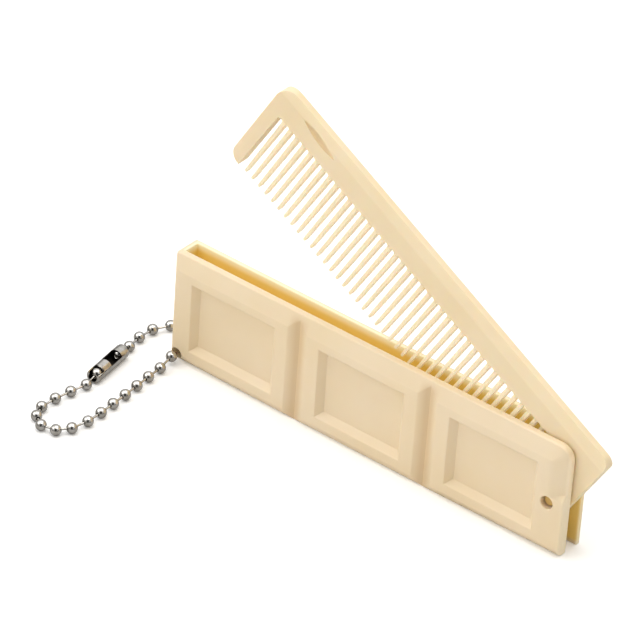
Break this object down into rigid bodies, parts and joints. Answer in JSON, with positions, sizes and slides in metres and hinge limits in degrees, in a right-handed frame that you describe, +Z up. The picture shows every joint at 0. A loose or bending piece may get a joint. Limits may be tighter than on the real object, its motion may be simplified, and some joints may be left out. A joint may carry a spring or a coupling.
{
  "type": "folding pocket comb",
  "caption": "Pocket comb that folds on a pin into a slotted case moulded like a chocolate bar, with a ball chain through the case's corner.",
  "frame": {"origin": "middle of the case's base, on the surface that the case stands on, halfway between the two walls of the comb's slot", "axes": "+X along the case from its closed end to the pivot, +Y from the front blocks to the plain back, +Z up; rest is the pictured pose, with the comb 30.7 degrees open"},
  "size_m": [0.1156, 0.0532, 0.0729],
  "materials": {
    "case_plastic": "satin ivory plastic, as moulded",
    "comb_plastic": "satin ivory plastic, as moulded, rounded at the edges",
    "pin_plastic": "plain ochre plastic, seen only at the bottom of its hole",
    "chain_metal": "nickel-plated steel, bright"
  },
  "bodies": {
    "case": {"case": "case_plastic", "pivot_pin": "pin_plastic"},
    "comb": {"comb": "comb_plastic"},
    "chain": {"chain_ball_01": "chain_metal", "chain_ball_02": "chain_metal", "chain_ball_03": "chain_metal", "chain_ball_04": "chain_metal", "chain_ball_05": "chain_metal", "chain_ball_06": "chain_metal", "chain_ball_07": "chain_metal", "chain_ball_08": "chain_metal", "chain_ball_09": "chain_metal", "chain_ball_10": "chain_metal", "chain_ball_11": "chain_metal", "chain_ball_12": "chain_metal", "chain_ball_13": "chain_metal", "chain_ball_14": "chain_metal", "chain_ball_15": "chain_metal", "chain_ball_16": "chain_metal", "chain_ball_17": "chain_metal", "chain_ball_18": "chain_metal", "chain_ball_19": "chain_metal", "chain_ball_20": "chain_metal", "chain_ball_21": "chain_metal", "chain_ball_22": "chain_metal", "chain_ball_23": "chain_metal", "chain_ball_24": "chain_metal", "chain_ball_25": "chain_metal", "chain_ball_26": "chain_metal", "chain_ball_27": "chain_metal", "chain_link_01": "chain_metal", "chain_link_02": "chain_metal", "chain_link_03": "chain_metal", "chain_link_04": "chain_metal", "chain_link_05": "chain_metal", "chain_link_06": "chain_metal", "chain_link_07": "chain_metal", "chain_link_08": "chain_metal", "chain_link_09": "chain_metal", "chain_link_10": "chain_metal", "chain_link_11": "chain_metal", "chain_link_12": "chain_metal", "chain_link_13": "chain_metal", "chain_link_14": "chain_metal", "chain_link_15": "chain_metal", "chain_link_16": "chain_metal", "chain_link_17": "chain_metal", "chain_link_18": "chain_metal", "chain_link_19": "chain_metal", "chain_link_20": "chain_metal", "chain_link_21": "chain_metal", "chain_link_22": "chain_metal", "chain_link_23": "chain_metal", "chain_link_24": "chain_metal", "chain_link_25": "chain_metal", "chain_link_26": "chain_metal"},
    "connector": {"chain_connector": "chain_metal"}
  },
  "joints": [
    {"name": "comb_pivot", "type": "hinge", "parent": "case", "child": "comb", "pos_m": [0.0465, 0, 0.01185], "axis": [0, 1, 0], "range_deg": [-30.7, 149.3]},
    {"name": "chain_swing", "type": "hinge", "parent": "case", "child": "chain", "pos_m": [-0.0477, 0, 0.0019], "axis": [0, 1, 0], "range_deg": [-90, 60]},
    {"name": "connector_swivel", "type": "hinge", "parent": "chain", "child": "connector", "pos_m": [-0.05559, -0.01686, 0.0016], "axis": [-0.1564, 0.9877, 0], "continuous": true}
  ]
}
